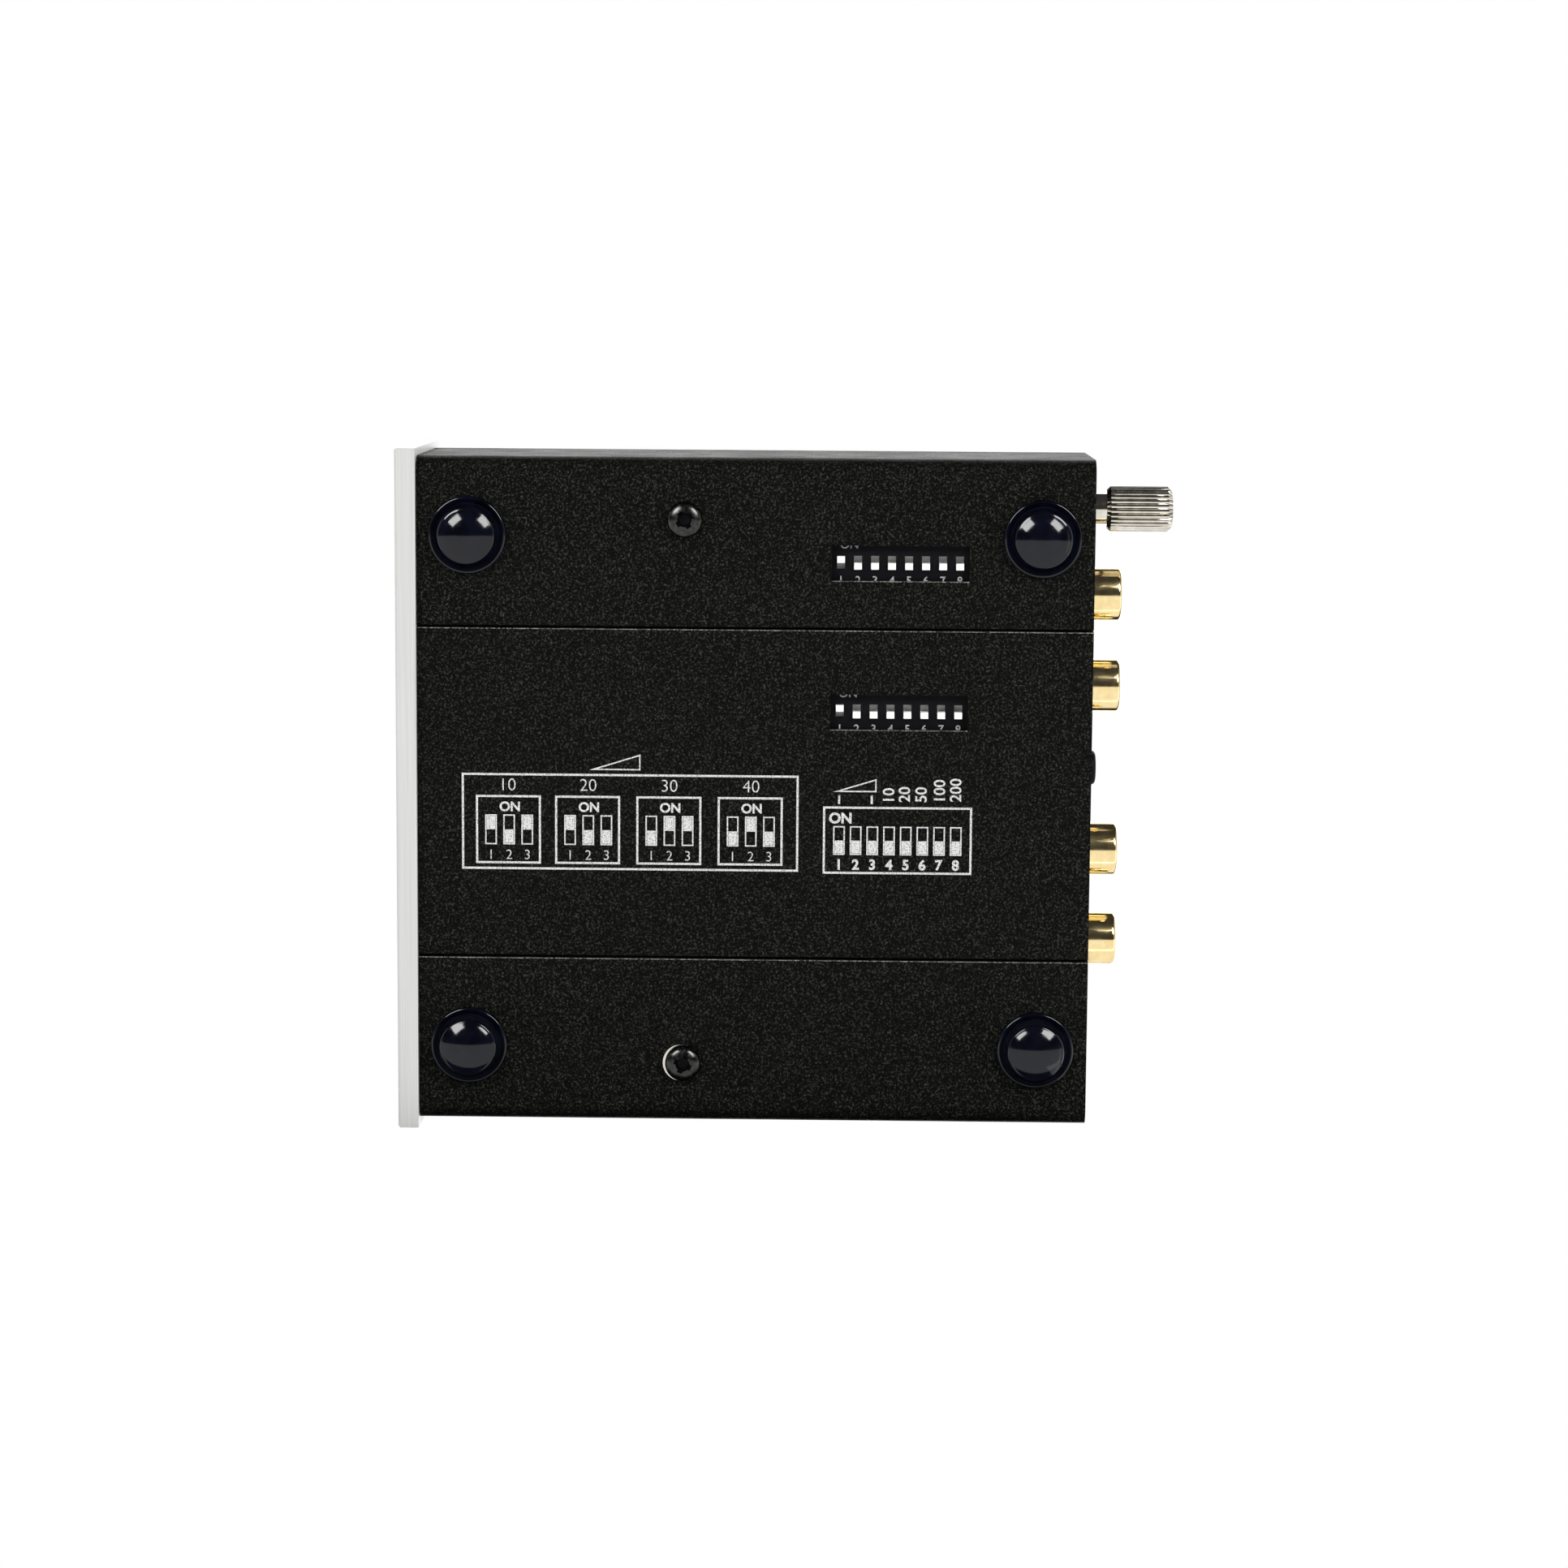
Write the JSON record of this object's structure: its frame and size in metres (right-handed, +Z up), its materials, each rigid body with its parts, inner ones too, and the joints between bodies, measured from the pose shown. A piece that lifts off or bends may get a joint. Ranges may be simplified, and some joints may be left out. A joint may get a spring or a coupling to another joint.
{
  "type": "phono preamp",
  "caption": "Compact phono preamp: folded black steel case, thick pale metal front panel, rubber feet, slide switches under windows in its underside, rear sockets and ground terminal.",
  "frame": {"origin": "middle of the footprint, ground terminal included, at the plane that the feet stand on", "axes": "+Z up, the front panel faces -Y, +X to the right seen from the front"},
  "size_m": [0.103, 0.117, 0.036],
  "materials": {
    "panel_metal": "brushed, clear",
    "case_paint": "fine textured powder coat, black",
    "zinc_steel": "zinc plated",
    "foot_rubber": "gloss",
    "black_screw": "black oxide",
    "board_green": "solder mask",
    "black_plastic": "satin",
    "white_plastic": "satin",
    "gold": "gold plated, polished",
    "nickel": "nickel plated",
    "lamp_lens": "clear",
    "can_sleeve": "sleeve"
  },
  "bodies": {
    "chassis": {"amplifier_chips": "black_plastic", "base_tray": "case_paint", "board_screws": "zinc_steel", "board_standoffs": "zinc_steel", "capacitors": "can_sleeve", "circuit_board": "board_green", "clinch_nuts": "zinc_steel", "cover_screws": "black_screw", "foot_front_left": "foot_rubber", "foot_front_right": "foot_rubber", "foot_rear_left": "foot_rubber", "foot_rear_right": "foot_rubber", "front_panel": "panel_metal", "front_panel_screws": "zinc_steel", "gain_switch_body": "black_plastic", "ground_lock_nut": "nickel", "ground_lug": "zinc_steel", "ground_stud": "nickel", "ground_washer": "nickel", "input_jack_block": "black_plastic", "input_left_contact": "gold", "input_left_insulator": "white_plastic", "input_left_sleeve": "gold", "input_right_contact": "gold", "input_right_insulator": "white_plastic", "input_right_sleeve": "gold", "jack_screws": "zinc_steel", "lamp_holder": "black_plastic", "load_switch_body": "black_plastic", "output_jack_block": "black_plastic", "output_left_contact": "gold", "output_left_insulator": "white_plastic", "output_left_sleeve": "gold", "output_right_contact": "gold", "output_right_insulator": "white_plastic", "output_right_sleeve": "gold", "power_lamp": "lamp_lens", "power_socket": "black_plastic", "power_socket_pin": "nickel", "rear_panel": "case_paint", "resistors": "black_plastic", "top_cover": "case_paint", "voltage_regulators": "zinc_steel"},
    "thumb_nut": {"ground_thumb_nut": "nickel"},
    "gain_switch_slider_1": {"gain_switch_slider_1": "white_plastic"},
    "gain_switch_slider_2": {"gain_switch_slider_2": "white_plastic"},
    "gain_switch_slider_3": {"gain_switch_slider_3": "white_plastic"},
    "gain_switch_slider_4": {"gain_switch_slider_4": "white_plastic"},
    "gain_switch_slider_5": {"gain_switch_slider_5": "white_plastic"},
    "gain_switch_slider_6": {"gain_switch_slider_6": "white_plastic"},
    "gain_switch_slider_7": {"gain_switch_slider_7": "white_plastic"},
    "gain_switch_slider_8": {"gain_switch_slider_8": "white_plastic"},
    "load_switch_slider_1": {"load_switch_slider_1": "white_plastic"},
    "load_switch_slider_2": {"load_switch_slider_2": "white_plastic"},
    "load_switch_slider_3": {"load_switch_slider_3": "white_plastic"},
    "load_switch_slider_4": {"load_switch_slider_4": "white_plastic"},
    "load_switch_slider_5": {"load_switch_slider_5": "white_plastic"},
    "load_switch_slider_6": {"load_switch_slider_6": "white_plastic"},
    "load_switch_slider_7": {"load_switch_slider_7": "white_plastic"},
    "load_switch_slider_8": {"load_switch_slider_8": "white_plastic"}
  },
  "joints": [
    {"name": "gain_switch_slider_1_slide", "type": "slide", "parent": "chassis", "child": "gain_switch_slider_1", "axis": [1, 0, 0], "range_m": [-0.00098, 0]},
    {"name": "gain_switch_slider_2_slide", "type": "slide", "parent": "chassis", "child": "gain_switch_slider_2", "axis": [1, 0, 0], "range_m": [0, 0.00098]},
    {"name": "gain_switch_slider_3_slide", "type": "slide", "parent": "chassis", "child": "gain_switch_slider_3", "axis": [1, 0, 0], "range_m": [0, 0.00098]},
    {"name": "gain_switch_slider_4_slide", "type": "slide", "parent": "chassis", "child": "gain_switch_slider_4", "axis": [1, 0, 0], "range_m": [0, 0.00098]},
    {"name": "gain_switch_slider_5_slide", "type": "slide", "parent": "chassis", "child": "gain_switch_slider_5", "axis": [1, 0, 0], "range_m": [0, 0.00098]},
    {"name": "gain_switch_slider_6_slide", "type": "slide", "parent": "chassis", "child": "gain_switch_slider_6", "axis": [1, 0, 0], "range_m": [0, 0.00098]},
    {"name": "gain_switch_slider_7_slide", "type": "slide", "parent": "chassis", "child": "gain_switch_slider_7", "axis": [1, 0, 0], "range_m": [0, 0.00098]},
    {"name": "gain_switch_slider_8_slide", "type": "slide", "parent": "chassis", "child": "gain_switch_slider_8", "axis": [1, 0, 0], "range_m": [0, 0.00098]},
    {"name": "load_switch_slider_1_slide", "type": "slide", "parent": "chassis", "child": "load_switch_slider_1", "axis": [1, 0, 0], "range_m": [-0.00098, 0]},
    {"name": "load_switch_slider_2_slide", "type": "slide", "parent": "chassis", "child": "load_switch_slider_2", "axis": [1, 0, 0], "range_m": [0, 0.00098]},
    {"name": "load_switch_slider_3_slide", "type": "slide", "parent": "chassis", "child": "load_switch_slider_3", "axis": [1, 0, 0], "range_m": [0, 0.00098]},
    {"name": "load_switch_slider_4_slide", "type": "slide", "parent": "chassis", "child": "load_switch_slider_4", "axis": [1, 0, 0], "range_m": [0, 0.00098]},
    {"name": "load_switch_slider_5_slide", "type": "slide", "parent": "chassis", "child": "load_switch_slider_5", "axis": [1, 0, 0], "range_m": [0, 0.00098]},
    {"name": "load_switch_slider_6_slide", "type": "slide", "parent": "chassis", "child": "load_switch_slider_6", "axis": [1, 0, 0], "range_m": [0, 0.00098]},
    {"name": "load_switch_slider_7_slide", "type": "slide", "parent": "chassis", "child": "load_switch_slider_7", "axis": [1, 0, 0], "range_m": [0, 0.00098]},
    {"name": "load_switch_slider_8_slide", "type": "slide", "parent": "chassis", "child": "load_switch_slider_8", "axis": [1, 0, 0], "range_m": [0, 0.00098]},
    {"name": "thumb_nut_turn", "type": "hinge", "parent": "chassis", "child": "thumb_nut", "pos_m": [0.0424, 0.0434, 0.0201], "axis": [0, 1, 0], "range_deg": [0, 360]}
  ]
}
